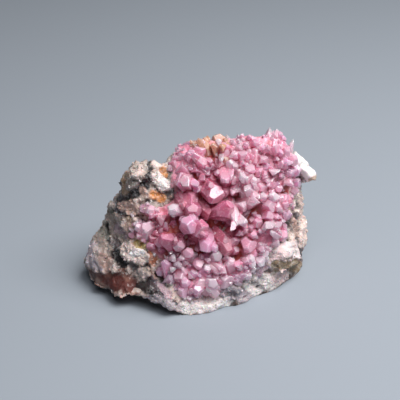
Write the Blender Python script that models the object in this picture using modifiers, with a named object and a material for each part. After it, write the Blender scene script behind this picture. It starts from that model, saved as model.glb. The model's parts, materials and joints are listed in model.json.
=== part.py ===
"""Cobaltoan calcite specimen: a broken lump of pale and grey host rock with a druse of pink crystals.

Three solids: matrix_rock, crystal_crust over its display face, and left_cluster, a small island of
crystals beside the crust. Metres, +Z up, the display face towards -Y, the flat rest face at z = 0.

The display face is charted from a viewing point EYE_DISTANCE away and EYE_ELEVATION above the level.
A chart place is (across, up) in CHART_STEP steps on the plane through CHART_CENTRE that is square to
that line of sight, and a third number says how deep the point lies.
"""

import math
import random

import bmesh
import bpy
from mathutils import Matrix, Vector, noise
from mathutils.bvhtree import BVHTree

MM = 0.001

# The chart of the display face.
EYE_DISTANCE = 300 * MM
EYE_ELEVATION = math.radians(28)
CHART_CENTRE = Vector((-0.6, 0.0, 21.6)) * MM
CHART_STEP = 0.25 * MM
EYE_SIN = math.sin(EYE_ELEVATION)
EYE_COS = math.cos(EYE_ELEVATION)
CHART_AXES = Matrix(((1, 0, 0), (0, EYE_SIN, -EYE_COS), (0, EYE_COS, EYE_SIN)))

# Brings the middle of the specimen's foot to the origin.
TO_ORIGIN = Vector((0.5, -0.9, 0.0)) * MM

# The rock.
ROCK_VOXEL = 0.9 * MM
ROCK_TRIANGLES = 2500
SPARE_FACTOR = 2e-5
OPEN_WEIGHT = 0.4
BROAD_RELIEF = (0.75 * MM, 7.0 * MM)
FINE_RELIEF = (0.5 * MM, 2.8 * MM)

# The crust.
JOINT_GAP = 0.35 * MM
SKIN_TOP = 1.2 * MM
SKIN_VOXEL = 1.3 * MM
SKIN_TRIANGLES = 1100
SMALLEST_WIDTH = 2.1
FILL_TRIES = 3000
FILL_WIDTH = (2.5, 3.4)
FILL_SPACING = 0.44
WIDEN = 1.12

# Blocks that the rock broke into, by their corners: (across, up, y), y in mm behind the middle.
BLOCKS = {
    "core": (
        (94, 54, 6), (72, 62, 5), (35, 57, 5), (5, 61, 6), (-16, 56, 5), (-34, 41, 3),
        (-48, 14, -2), (-52, -15, -6), (-60, -45, -9), (-46, -84, -13),
        (106, 0, 8), (105, -28, 8), (90, -22, -1), (60, -30, -7), (40, -70, -13),
        (92, 40, 17), (-20, 40, 15), (-62, -10, 15),
    ),
    "knob": (
        (-84, 18, 3), (-78, 31, 4), (-62, 41, 4), (-45, 42, 4), (-36, 38, 1), (-47, 13, -3),
        (-62, 10, -3.5), (-78, -3, -1.5), (-83, 6, 1), (-63, 22, -3.5), (-60, 20, 12),
    ),
    "shoulder": (
        (-84, 4, 3), (-94, -12, 3), (-78, -6, -2.5), (-66, -12, -5), (-58, 10, -3), (-56, -6, 12),
        (-82, -10, 11), (-66, 18, 8), (-88, -26, -1), (-48, 2, -4.5), (-50, -16, -6.5),
    ),
    "flank": (
        (-79, 4, 4), (-97, -18, 4), (-102, -34, 3), (-90, -40, -4), (-64, -12, -5.5), (-58, -50, -9),
        (-80, -66, -9), (-70, -10, 12), (-90, -50, 12), (-66, -84, -9),
    ),
    "left_lobe": (
        (-115, -60, 0), (-110, -38, 1), (-101, -29, 2), (-94, -34, -3), (-112, -73, -2),
        (-100, -73, -6.5), (-82, -68, -9), (-84, -50, -7.5), (-96, -50, -6), (-104, -60, 8),
    ),
    "front_lump": (
        (-74, -55, -10), (-66, -47, -9.5), (-52, -48, -11.5), (-48, -65, -14), (-50, -84, -15),
        (-60, -88, -14.5), (-76, -62, -11), (-60, -60, 0), (-66, -82, -12), (-40, -90, -14),
    ),
    "right_ledge": (
        (76, -50, -5), (90, -38, -3), (103, -40, 3), (106, -60, 5), (100, -63, 0.5), (85, -62, -4.5),
        (74, -60, -7), (90, -50, 10),
    ),
    "white_chip": (
        (93, 50, 7), (103, 44, 8), (111, 35, 8), (119, 24, 8), (116, 19, 7), (108, 14, 6),
        (105, 28, 4), (96, 38, 3.5), (90, 18, 11), (92, 44, 11),
    ),
}
# Corners of the rock's foot: (across, up, z), z in mm above the rest face.
FEET = {
    "core": (
        (-12, -119, -1), (6, -118, -1), (38, -109, -1), (66, -98, -1), (84, -85, -1), (105, -69, -1),
        (-30, -112, 0.3), (-46, -104, 0.8),
    ),
    "flank": ((-92, -86, 3), (-74, -96, 2.5), (-62, -98, 2)),
    "front_lump": ((-64, -98, 1.5), (-44, -105, 0.5)),
    "left_lobe": ((-110, -90, 2), (-92, -94, 2), (-74, -100, 2), (-63, -97, 2), (-75, -72, 8)),
    "right_ledge": ((80, -78, 5), (102, -66, 5)),
}
# Corners of the back: (x, y, z) in mm.
BACK = {
    "core": (
        (-17, 17, -1), (12, 18, -1), (24, 13, -1), (-22, 8, -1), (22, 14, 19), (-13, 15, 16),
    ),
    "rear_spur": (
        (2, 21.5, -1), (14, 20, -1), (20, 15, -1), (15, 18.5, 13), (7, 19.5, 17), (0, 14, 22),
        (16, 13, 22), (-3, 14, -1),
    ),
    "rear_shelf": (
        (-20, 13, -1), (-15, 20.5, -1), (-6, 19.5, -1), (-8, 18.5, 8.5), (-17, 17.5, 9.5),
        (-20, 12, 11), (-7, 13, 13),
    ),
}

# The line that the crust ends along behind the ridge, seen from above: (x, y) in mm.
CRUST_BACK = (
    (-40, 9), (-15, 8.4), (-11, 9.8), (-6, 8.3), (-2, 9.2), (3, 10.4), (7, 8.8), (12, 9.8), (17, 8.6),
    (22, 10.2), (40, 9.4), (40, -40), (-40, -40),
)

# Edge of the crust, on the chart.
CRUST_OUTLINE = (
    (-24, 54), (-14, 60), (0, 63), (15, 62), (31, 64), (41, 68), (62, 70), (78, 70), (90, 64),
    (93, 50), (103, 34), (105, 16), (102, 4), (98, -15), (92, -30), (82, -42), (70, -52), (64, -62),
    (54, -74), (40, -82), (18, -88), (4, -97), (-12, -101), (-26, -94), (-33, -78), (-40, -64),
    (-47, -56), (-51, -46), (-49, -36), (-48, -24), (-56, -12), (-60, -4), (-50, -2), (-40, -4),
    (-30, 1), (-26, 8), (-32, 15), (-32, 26), (-30, 36), (-29, 46),
)
CLUSTER_OUTLINE = (
    (-70, -22), (-63, -19), (-58, -22), (-53, -28), (-53, -36), (-60, -41), (-67, -38), (-70, -30),
)

# Crystals: (across, up) of the tip in chart steps, width and rise in mm, lean (across, up).
# The rise is the tip's height above the rock, and a lean of 1 tilts the crystal 45 degrees.
CRYSTALS = (
    (-20, 55, 2.8, 4, -0.3, 1.0), (-7, 60, 2.3, 4, 0.0, 1.2), (-12, 50, 2.2, 4, -0.1, 0.6),
    (3, 59, 2.0, 4, 0.1, 1.0), (10, 37, 2.8, 5, 0.4, -0.7), (-17, 35, 4.2, 4, 0.0, 0.1),
    (-23, 23, 5.2, 5, -0.2, 0.1), (-10, 14, 3.8, 6, 0.1, 0.0), (-2, 13, 2.6, 5, 0.1, 0.0),
    (-3, 30, 3.8, 4, 0.0, 0.0), (-28, 45, 2.2, 3, -0.6, 0.8),
    (21, 39, 1.6, 6, 0.1, -0.3), (32, 34, 3.0, 5, 0.0, 0.0), (18, 26, 1.6, 5, 0.0, 0.0),
    (26, 16, 2.4, 7, 0.0, -0.5), (29, 22, 2.0, 5, 0.1, 0.0), (41, 25, 2.5, 6, 0.0, 0.3),
    (53, 16, 3.1, 6, 0.0, 0.1), (43, 8, 3.2, 7, -0.1, 0.0), (32, 7, 1.8, 6, 0.0, -0.2),
    (19, 1, 4.4, 8, 0.45, -0.6), (32, -9, 4.6, 7, 0.5, -0.2),
    (45, 65, 2.5, 4, -0.1, 1.0), (57, 64, 3.4, 4, 0.0, 0.9), (34, 61, 1.8, 3, -0.1, 0.5),
    (39, 58, 1.8, 3, -0.1, 0.5), (44, 55, 1.8, 3, -0.1, 0.5), (49, 51, 1.8, 3, -0.1, 0.5),
    (46, 45, 2.4, 4, 0.0, 0.3), (54, 45, 2.2, 4, 0.0, 0.3), (31, 50, 2.0, 3, 0.0, 0.3),
    (70, 74, 2.4, 5, -0.1, 1.2), (75, 73, 2.4, 5, 0.1, 1.2), (72, 68, 3.8, 4, 0.0, 1.0),
    (82, 70, 1.3, 4, 0.2, 1.2), (94, 62, 1.4, 4, 1.3, 0.3), (86, 62, 1.2, 4, 0.6, 0.8),
    (87, 56, 2.4, 3, 0.5, 0.5), (68, 56, 1.8, 4, 0.0, 0.5), (75, 54, 2.6, 4, 0.0, 0.4),
    (67, 42, 4.4, 4, 0.1, 0.2), (87, 37, 3.0, 4, 0.2, 0.1), (74, 25, 2.4, 5, 0.0, -0.2),
    (65, 26, 2.0, 4, 0.0, 0.0), (58, 28, 2.4, 4, 0.0, 0.0), (50, 32, 2.8, 4, 0.0, 0.1),
    (81, 24, 1.8, 4, 0.0, 0.0), (99, 20, 4.0, 4, 0.7, 0.0), (89, 20, 3.2, 4, 0.3, 0.0),
    (79, 13, 2.6, 3, 0.0, 0.0), (62, 14, 2.8, 4, 0.0, 0.0), (68, 19, 2.4, 4, 0.0, 0.0),
    (73, 4, 2.4, 6, 0.0, 0.1), (64, 4, 2.2, 6, 0.1, 0.1), (60, -2, 3.8, 6, 0.8, 0.1),
    (54, -3, 2.6, 5, 0.3, 0.0), (85, 2, 2.2, 4, 0.2, 0.0), (84, -4, 2.4, 4, 0.2, 0.0),
    (94, 3, 2.2, 3, 0.5, 0.1), (68, -8, 2.8, 4, 0.0, 0.0), (77, -8, 2.6, 4, 0.1, 0.0),
    (75, -16, 3.6, 4, 0.1, 0.1), (66, -18, 2.8, 4, 0.0, 0.0), (85, -12, 2.6, 3, 0.2, 0.0),
    (92, -13, 2.8, 3, 0.4, 0.0), (83, -21, 2.0, 3, 0.2, -0.1), (46, -26, 2.8, 7, 0.4, -0.5),
    (57, -24, 3.0, 5, 0.1, 0.0), (66, -29, 2.4, 6, 0.0, -0.1), (76, -26, 2.8, 4, 0.1, 0.0),
    (65, -38, 4.2, 4, 0.1, -0.4), (53, -36, 3.2, 4, 0.0, -0.2), (49, -48, 3.6, 4, 0.1, -0.3),
    (-31, -10, 2.8, 6, -0.5, 0.0), (-9, -6, 4.2, 7, 0.2, -0.3), (-3, -15, 3.6, 7, 0.3, -0.4),
    (-18, -4, 3.4, 6, -0.1, 0.1), (-39, -17, 3.4, 5, -0.1, 0.3), (-14, -27, 4.0, 8, -0.2, -0.1),
    (1, -30, 4.4, 8, 0.15, -0.2), (7, -53, 3.6, 6, 0.2, -1.2), (-37, -40, 3.8, 5, -0.1, 0.3),
    (-51, -9, 2.8, 3, -0.4, 0.2), (-48, -15, 2.4, 3, -0.2, 0.0), (-23, -49, 3.4, 5, -0.1, -0.3),
    (-10, -52, 2.4, 5, 0.0, 0.2), (-25, -42, 2.2, 5, 0.0, 0.0), (9, -16, 2.8, 5, 0.3, -0.2),
    (29, -32, 3.8, 8, -0.1, -0.4), (25, -52, 4.6, 6, -0.1, -0.4), (13, -52, 2.6, 3, 0.0, 0.0),
    (36, -52, 2.6, 3, 0.0, -0.2), (-36, -60, 2.8, 4, -0.3, 0.4), (-20, -63, 2.4, 4, 0.0, 0.1),
    (-20, -78, 4.6, 4, -0.2, -0.1), (-13, -84, 2.4, 4, 0.0, -0.1), (-14, -70, 2.6, 4, 0.0, 0.0),
    (-7, -70, 2.2, 4, 0.1, 0.0), (7, -70, 2.4, 4, 0.0, 0.1), (9, -79, 2.4, 4, 0.0, 0.1),
    (-2, -64, 2.8, 4, 0.0, 0.0), (17, -81, 2.0, 3, 0.0, -0.1), (27, -74, 3.0, 4, 0.5, -0.6),
    (21, -67, 2.2, 4, 0.2, -0.2), (36, -64, 2.6, 4, 0.1, 0.0), (27, -63, 2.6, 3, 0.0, 0.0),
    (5, -89, 3.0, 3, 0.0, -0.2), (48, -76, 3.6, 3, 0.1, -0.1), (36, -75, 2.2, 2, 0.0, 0.0),
    (-10, -93, 2.2, 2, 0.0, -0.2), (-24, -90, 2.4, 2, -0.2, -0.2),
)
CLUSTER_CRYSTALS = (
    (-61, -29, 3.6, 3, -0.5, 0.1), (-57, -26, 2.4, 3, -0.2, 0.1), (-65, -26, 2.2, 3, -0.5, 0.2),
    (-63, -37, 2.0, 3, -0.3, -0.2), (-55, -32, 2.0, 3, 0.0, 0.0),
)

# Calcite's end faces slope 45 degrees from the crystal's axis, three of them a third of a turn apart.
END_SLOPE = math.radians(44.6)
SLOPE_SCATTER = 0.12
SIDES = 6
FLAT_SHARE = 0.9
ROOT_DEPTH = 0.6 * MM


def sight_frame(across, up, height):
    """The world point on the sight line through a chart place, at this height towards the eye."""
    spread = 1 - height / EYE_DISTANCE
    flat = Vector((across * CHART_STEP * spread, up * CHART_STEP * spread, height))
    return CHART_CENTRE + CHART_AXES @ flat


def at_depth(across, up, y):
    """The point on a chart place's sight line that lies y mm behind the middle."""
    rise = up * CHART_STEP * EYE_SIN
    return sight_frame(across, up, (rise - y * MM) / (EYE_COS + rise / EYE_DISTANCE))


def at_level(across, up, z):
    """The point on a chart place's sight line that lies z mm above the rest face."""
    rise = up * CHART_STEP * EYE_COS
    height = (z * MM - CHART_CENTRE.z - rise) / (EYE_SIN - rise / EYE_DISTANCE)
    return sight_frame(across, up, height)


def new_object(name, mesh, collection):
    made = bpy.data.objects.new(name, mesh)
    collection.objects.link(made)
    return made


def mesh_from(bm, name):
    mesh = bpy.data.meshes.new(name)
    bm.to_mesh(mesh)
    bm.free()
    return mesh


def hull(points, name):
    bm = bmesh.new()
    for point in points:
        bm.verts.new(point)
    bmesh.ops.convex_hull(bm, input=bm.verts)
    loose = [v for v in bm.verts if not v.link_faces]
    bmesh.ops.delete(bm, geom=loose, context="VERTS")
    bmesh.ops.recalc_face_normals(bm, faces=bm.faces)
    return mesh_from(bm, name)


def evaluated_mesh(obj):
    """The object's mesh with its modifiers applied, in world space."""
    graph = bpy.context.evaluated_depsgraph_get()
    mesh = bpy.data.meshes.new_from_object(obj.evaluated_get(graph))
    mesh.transform(obj.matrix_world)
    return mesh


def bake(obj):
    """Applies the object's modifiers."""
    mesh = evaluated_mesh(obj)
    obj.modifiers.clear()
    obj.data = mesh
    obj.matrix_world = Matrix.Identity(4)


def boolean(obj, operation, other):
    """Adds and applies a Boolean; other is an object, or a collection of them."""
    step = obj.modifiers.new(operation.title(), "BOOLEAN")
    step.operation = operation
    step.solver = "EXACT"
    if isinstance(other, bpy.types.Collection):
        step.operand_type = "COLLECTION"
        step.collection = other
    else:
        step.object = other
    bpy.context.view_layer.update()
    bake(obj)


def block_corners(name):
    corners = [at_depth(*corner) for corner in BLOCKS.get(name, ())]
    corners += [at_level(*corner) for corner in FEET.get(name, ())]
    corners += [Vector(corner) * MM for corner in BACK.get(name, ())]
    return corners


def relief(point):
    """Height of the broken rock's own lumps and chips at a point."""
    broad, broad_size = BROAD_RELIEF
    fine, fine_size = FINE_RELIEF
    lumps = noise.noise(point / broad_size)
    cells = noise.voronoi(point / fine_size)[0]
    return broad * 2 * lumps + fine * (0.5 - 1.6 * min(cells[1] - cells[0], 0.6))


def thin(obj, triangles, group=None):
    """Brings a mesh down to about this many triangles, soonest where the vertex group is strong."""
    now = sum(len(face.vertices) - 2 for face in obj.data.polygons)
    step = obj.modifiers.new("Thin", "DECIMATE")
    step.use_collapse_triangulate = True
    step.ratio = min(1, triangles / now)
    if group:
        step.vertex_group = group
        step.vertex_group_factor = SPARE_FACTOR
    bake(obj)


def fuse(obj, voxel):
    """Melts an object's overlapping lumps into one skin, in cells of this size."""
    cells = obj.modifiers.new("Fuse", "REMESH")
    cells.mode = "VOXEL"
    cells.voxel_size = voxel
    soften = obj.modifiers.new("Soften", "SMOOTH")
    soften.factor = 0.5
    soften.iterations = 3
    bake(obj)


def inside(outline, across, up):
    """Whether a chart place lies inside an outline."""
    within = False
    for (x1, y1), (x2, y2) in zip(outline, outline[1:] + outline[:1]):
        if (y1 > up) != (y2 > up) and across < x1 + (up - y1) * (x2 - x1) / (y2 - y1):
            within = not within
    return within


def is_covered(point):
    """Whether a point of the rock lies under the crust."""
    flat = CHART_AXES.transposed() @ (point - CHART_CENTRE)
    spread = CHART_STEP * (1 - flat.z / EYE_DISTANCE)
    return inside(CRUST_OUTLINE, flat.x / spread, flat.y / spread) and point.y < 8 * MM


def make_rock(collection):
    bm = bmesh.new()
    for name in dict.fromkeys([*BLOCKS, *FEET, *BACK]):
        block = hull(block_corners(name), name)
        bm.from_mesh(block)
        bpy.data.meshes.remove(block)
    rock = new_object("matrix_rock", mesh_from(bm, "matrix_rock"), collection)

    fuse(rock, ROCK_VOXEL)

    normals = [v.normal.copy() for v in rock.data.vertices]
    for vertex, normal in zip(rock.data.vertices, normals):
        vertex.co += normal * relief(vertex.co)

    spare = rock.vertex_groups.new(name="spare")
    for vertex in rock.data.vertices:
        spare.add([vertex.index], 1 if is_covered(vertex.co) else OPEN_WEIGHT, "REPLACE")
    thin(rock, ROCK_TRIANGLES, "spare")
    rock.vertex_groups.clear()
    return rock


def make_floor_cutter(collection, top):
    """A slab whose top face is the level that everything is cut off at."""
    bm = bmesh.new()
    size = Matrix.Diagonal((0.2, 0.2, 0.02, 1))
    place = Matrix.Translation((0, 0, top - 0.01))
    bmesh.ops.create_cube(bm, size=1, matrix=place @ size)
    cutter = new_object("floor_cutter", mesh_from(bm, "floor_cutter"), collection)
    cutter.hide_render = True
    cutter.display_type = "WIRE"
    return cutter


def inflated(rock, name, by, collection):
    """A copy of the rock, grown outwards."""
    copy = new_object(name, rock.data.copy(), collection)
    normals = [v.normal.copy() for v in copy.data.vertices]
    for vertex, normal in zip(copy.data.vertices, normals):
        vertex.co += normal * by
    copy.hide_render = True
    copy.display_type = "WIRE"
    return copy


def prism(first, second, name, collection):
    """The solid between two loops of as many corners."""
    bm = bmesh.new()
    ends = [[bm.verts.new(corner) for corner in loop] for loop in (first, second)]
    for loop in ends:
        bm.faces.new(loop)
    for i, (low, high) in enumerate(zip(*ends)):
        bm.faces.new((low, ends[0][i - 1], ends[1][i - 1], high))
    bmesh.ops.recalc_face_normals(bm, faces=bm.faces)
    bmesh.ops.triangulate(bm, faces=bm.faces)
    return new_object(name, mesh_from(bm, name), collection)


def crust_bounds(outline, name, collection):
    """Two prisms that the crust lies inside: one along the lines of sight, one standing upright."""
    far, near = -8 * MM, 32 * MM
    sides = [[sight_frame(*place, height) for place in outline] for height in (far, near)]
    plan = [[Vector((x, y, z)) * MM for x, y in CRUST_BACK] for z in (-10, 60)]
    return (
        prism(*sides, name + "_outline", collection),
        prism(*plan, name + "_back", collection),
    )


def crystal_mesh(width, length, taper, rng):
    """A six-sided calcite column up the Z axis, its tip at the origin, ended by three slanting faces."""
    radius = width / 2
    bm = bmesh.new()
    bmesh.ops.create_cone(
        bm, cap_ends=True, segments=SIDES, radius1=radius * taper, radius2=radius, depth=length,
        matrix=Matrix.Translation((0, 0, -length / 2)),
    )
    for vertex in bm.verts:
        turn = round(math.atan2(vertex.co.y, vertex.co.x) / (math.tau / SIDES))
        if turn % 2:
            vertex.co.xy *= FLAT_SHARE
    for third in range(3):
        heading = math.tau * (third / 3 + 1 / 12)
        slope = END_SLOPE * (1 + rng.uniform(-SLOPE_SCATTER, SLOPE_SCATTER))
        normal = Vector((
            math.sin(slope) * math.cos(heading), math.sin(slope) * math.sin(heading), math.cos(slope),
        ))
        everything = bm.verts[:] + bm.edges[:] + bm.faces[:]
        cut = bmesh.ops.bisect_plane(
            bm, geom=everything, plane_co=(0, 0, 0), plane_no=normal, clear_outer=True,
        )
        edges = [e for e in cut["geom_cut"] if isinstance(e, bmesh.types.BMEdge)]
        if edges:
            bmesh.ops.holes_fill(bm, edges=edges, sides=0)
    bmesh.ops.remove_doubles(bm, verts=bm.verts, dist=1e-6)
    bmesh.ops.recalc_face_normals(bm, faces=bm.faces)
    return mesh_from(bm, "crystal")


def find_root(tree, across, up):
    """Where a chart place's sight line meets the rock, or passes closest to it, and that rock point."""
    eye = sight_frame(0, 0, EYE_DISTANCE)
    target = sight_frame(across, up, 0)
    line = (target - eye).normalized()
    hit = tree.ray_cast(eye, line)[0]
    if hit:
        return hit, hit, -line
    steps = [eye + line * (EYE_DISTANCE + offset * MM) for offset in range(-25, 20)]
    passing = min(steps, key=lambda point: tree.find_nearest(point)[3])
    return passing, tree.find_nearest(passing)[0], -line


def growing_lean(tree, across, up, rng):
    """The lean of a crystal that stands out from the rock at a chart place."""
    eye = sight_frame(0, 0, EYE_DISTANCE)
    line = (sight_frame(across, up, 0) - eye).normalized()
    normal = tree.ray_cast(eye, line)[1]
    if not normal:
        return 0, 1
    out = CHART_AXES.transposed() @ normal
    share = 0.8 / max(out.z, 0.5)
    return out.x * share + rng.gauss(0, 0.2), out.y * share + rng.gauss(0, 0.2)


def fill_rows(outline, rows, tree, rng):
    """The listed crystals, and more in the places that they leave open."""
    rows = [row for row in rows if row[2] >= SMALLEST_WIDTH]
    acrosses = [place[0] for place in outline]
    ups = [place[1] for place in outline]
    for _ in range(FILL_TRIES):
        across = rng.uniform(min(acrosses), max(acrosses))
        up = rng.uniform(min(ups), max(ups))
        width = rng.uniform(*FILL_WIDTH)
        room = min(
            math.hypot(across - row[0], up - row[1]) * CHART_STEP / MM / (width + row[2])
            for row in rows
        )
        if inside(outline, across, up) and room > FILL_SPACING:
            lean = growing_lean(tree, across, up, rng)
            rows.append((across, up, width, rng.uniform(2.2, 3.6), *lean))
    return rows


def make_crystal(row, tree, rng, collection):
    across, up, width, rise, lean_across, lean_up = row
    width *= WIDEN
    seen, rock_point, towards_eye = find_root(tree, across, up)
    if seen == rock_point:
        tip = seen + towards_eye * rise * MM
        axis = (towards_eye + CHART_AXES @ Vector((lean_across, lean_up, 0))).normalized()
        length = rise * MM / max(axis.dot(towards_eye), 0.3) + ROOT_DEPTH
    else:
        tip = seen
        axis = (tip - rock_point).normalized()
        length = (tip - rock_point).length + ROOT_DEPTH
    length += width * MM
    mesh = crystal_mesh(width * MM, length, rng.uniform(0.75, 0.95), rng)
    crystal = new_object("crystal", mesh, collection)
    spin = Matrix.Rotation(rng.uniform(0, math.tau), 4, "Z")
    crystal.matrix_world = Matrix.Translation(tip) @ axis.to_track_quat("Z", "Y").to_matrix().to_4x4() @ spin
    return crystal


def make_crust(name, outline, rows, rock, tree, parts, cutters, rng):
    """A skin on the rock inside the outline, with the crystals that grew from it, as one solid."""
    crust = inflated(rock, name, SKIN_TOP, parts)
    crust.hide_render = False
    crust.display_type = "TEXTURED"
    fuse(crust, SKIN_VOXEL)
    thin(crust, SKIN_TRIANGLES)
    for bound in crust_bounds(outline, name, cutters):
        boolean(crust, "INTERSECT", bound)

    group = bpy.data.collections.new(name + "_crystals")
    bpy.context.scene.collection.children.link(group)
    for row in fill_rows(outline, rows, tree, rng):
        make_crystal(row, tree, rng, group)
    boolean(crust, "UNION", group)
    boolean(crust, "DIFFERENCE", inflated(rock, name + "_bed", JOINT_GAP, cutters))
    for crystal in list(group.objects):
        bpy.data.objects.remove(crystal)
    bpy.data.collections.remove(group)
    return crust


def keep_largest(obj):
    """Drops the scraps that a cut leaves beside the main body."""
    bm = bmesh.new()
    bm.from_mesh(obj.data)
    bm.verts.ensure_lookup_table()
    left, bodies = set(bm.verts), []
    while left:
        body, edge = set(), [left.pop()]
        while edge:
            vertex = edge.pop()
            body.add(vertex)
            for link in vertex.link_edges:
                other = link.other_vert(vertex)
                if other in left:
                    left.remove(other)
                    edge.append(other)
        bodies.append(body)
    bodies.sort(key=len)
    scraps = [vertex for body in bodies[:-1] for vertex in body]
    bmesh.ops.delete(bm, geom=scraps, context="VERTS")
    bm.to_mesh(obj.data)
    bm.free()


def material(name, colour, roughness):
    made = bpy.data.materials.new(name)
    made.use_nodes = True
    shader = made.node_tree.nodes["Principled BSDF"]
    shader.inputs["Base Color"].default_value = (*colour, 1)
    shader.inputs["Roughness"].default_value = roughness
    made.diffuse_color = (*colour, 1)
    return made


def main():
    for obj in list(bpy.data.objects):
        bpy.data.objects.remove(obj)
    rng = random.Random(7)
    parts = bpy.data.collections.new("cobaltoan_calcite_specimen")
    cutters = bpy.data.collections.new("cutters")
    bpy.context.scene.collection.children.link(parts)
    bpy.context.scene.collection.children.link(cutters)

    rock = make_rock(parts)
    tree = BVHTree.FromObject(rock, bpy.context.evaluated_depsgraph_get())
    crust = make_crust("crystal_crust", CRUST_OUTLINE, CRYSTALS, rock, tree, parts, cutters, rng)
    cluster = make_crust(
        "left_cluster", CLUSTER_OUTLINE, CLUSTER_CRYSTALS, rock, tree, parts, cutters, rng,
    )
    boolean(rock, "DIFFERENCE", make_floor_cutter(cutters, 0))
    boolean(crust, "DIFFERENCE", make_floor_cutter(cutters, 0.4 * MM))
    for obj in (crust, cluster):
        keep_largest(obj)
    for obj in (rock, crust, cluster):
        obj.data.transform(Matrix.Translation(TO_ORIGIN))
    for helper in cutters.objects:
        helper.hide_render = True
        helper.display_type = "WIRE"

    stone = material("host_rock", (0.42, 0.38, 0.36), 0.85)
    pink = material("pink_calcite", (0.62, 0.22, 0.33), 0.3)
    rock.data.materials.append(stone)
    for obj in (crust, cluster):
        obj.data.materials.clear()
        obj.data.materials.append(pink)


main()
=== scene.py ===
"""A cobaltoan calcite specimen: a broken lump of host rock with a druse of pink crystals.

The pieces are built over the packed solids, in metres, +Z up, the crystal face towards -Y. That face
is charted from a viewing point: a chart place is (across, up) in CHART_STEP steps on the plane
through CHART_CENTRE that is square to the line of sight, and a height runs from it towards the eye.
"""

import json
import math
import random

import bmesh
import bpy
import numpy as np
from bpy.props import FloatProperty, FloatVectorProperty, IntProperty, PointerProperty
from mathutils import Matrix, Vector, noise
from mathutils.bvhtree import BVHTree

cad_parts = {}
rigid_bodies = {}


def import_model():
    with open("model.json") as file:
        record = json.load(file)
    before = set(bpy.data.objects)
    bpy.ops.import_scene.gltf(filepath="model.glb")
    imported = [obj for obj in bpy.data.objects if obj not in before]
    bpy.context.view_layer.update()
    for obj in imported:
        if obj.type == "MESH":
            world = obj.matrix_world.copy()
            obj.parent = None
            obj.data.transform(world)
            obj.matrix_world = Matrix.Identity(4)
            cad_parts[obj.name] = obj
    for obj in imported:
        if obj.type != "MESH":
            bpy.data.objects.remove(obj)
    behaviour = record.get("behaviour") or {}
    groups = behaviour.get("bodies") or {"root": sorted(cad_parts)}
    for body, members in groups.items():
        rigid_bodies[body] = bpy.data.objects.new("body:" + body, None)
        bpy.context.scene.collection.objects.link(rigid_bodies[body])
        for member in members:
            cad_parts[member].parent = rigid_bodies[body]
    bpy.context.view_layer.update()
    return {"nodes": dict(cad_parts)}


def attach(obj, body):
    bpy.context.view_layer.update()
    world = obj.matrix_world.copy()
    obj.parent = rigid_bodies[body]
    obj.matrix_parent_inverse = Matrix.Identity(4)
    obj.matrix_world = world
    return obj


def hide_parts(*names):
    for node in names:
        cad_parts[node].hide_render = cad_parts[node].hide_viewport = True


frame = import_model()

bl_info = {
    "name": "Pink calcite specimen",
    "version": (1, 0, 0),
    "blender": (4, 5, 0),
    "location": "3D View > Sidebar > Specimen",
    "description": "Builds the host rock, the pink calcite crystals that grew on it and a stage",
    "category": "Add Mesh",
}

MM = 0.001
BODY = "root"
# Shares of red, green and blue in a colour's lightness.
LIGHTNESS = np.array((0.2126, 0.7152, 0.0722))

EYE_DISTANCE = 300 * MM
EYE_ELEVATION = math.radians(28)
CHART_CENTRE = Vector((-0.1, -0.9, 21.6)) * MM
CHART_STEP = 0.25 * MM
EYE_SIN = math.sin(EYE_ELEVATION)
EYE_COS = math.cos(EYE_ELEVATION)
CHART_AXES = Matrix(((1, 0, 0), (0, EYE_SIN, -EYE_COS), (0, EYE_COS, EYE_SIN)))
EYEWARD = Vector(CHART_AXES.col[2])

# Edge of the crust and of the left cluster, on the chart.
CRUST_OUTLINE = (
    (-24, 54), (-14, 60), (0, 63), (15, 62), (31, 64), (41, 68), (62, 70), (78, 70), (86, 63),
    (88, 50), (97, 34), (101, 16), (95, 4), (90, -15), (86, -30), (80, -42), (70, -52), (64, -62),
    (54, -74), (40, -82), (18, -88), (4, -97), (-12, -101), (-26, -94), (-33, -78), (-40, -64),
    (-47, -56), (-51, -46), (-49, -36), (-48, -24), (-56, -12), (-60, -4), (-50, -2), (-40, -4),
    (-30, 1), (-26, 8), (-32, 15), (-32, 26), (-30, 36), (-29, 46),
)
CLUSTER_OUTLINE = (
    (-70, -22), (-63, -19), (-58, -22), (-53, -28), (-53, -36), (-60, -41), (-67, -38), (-70, -30),
)

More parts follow.
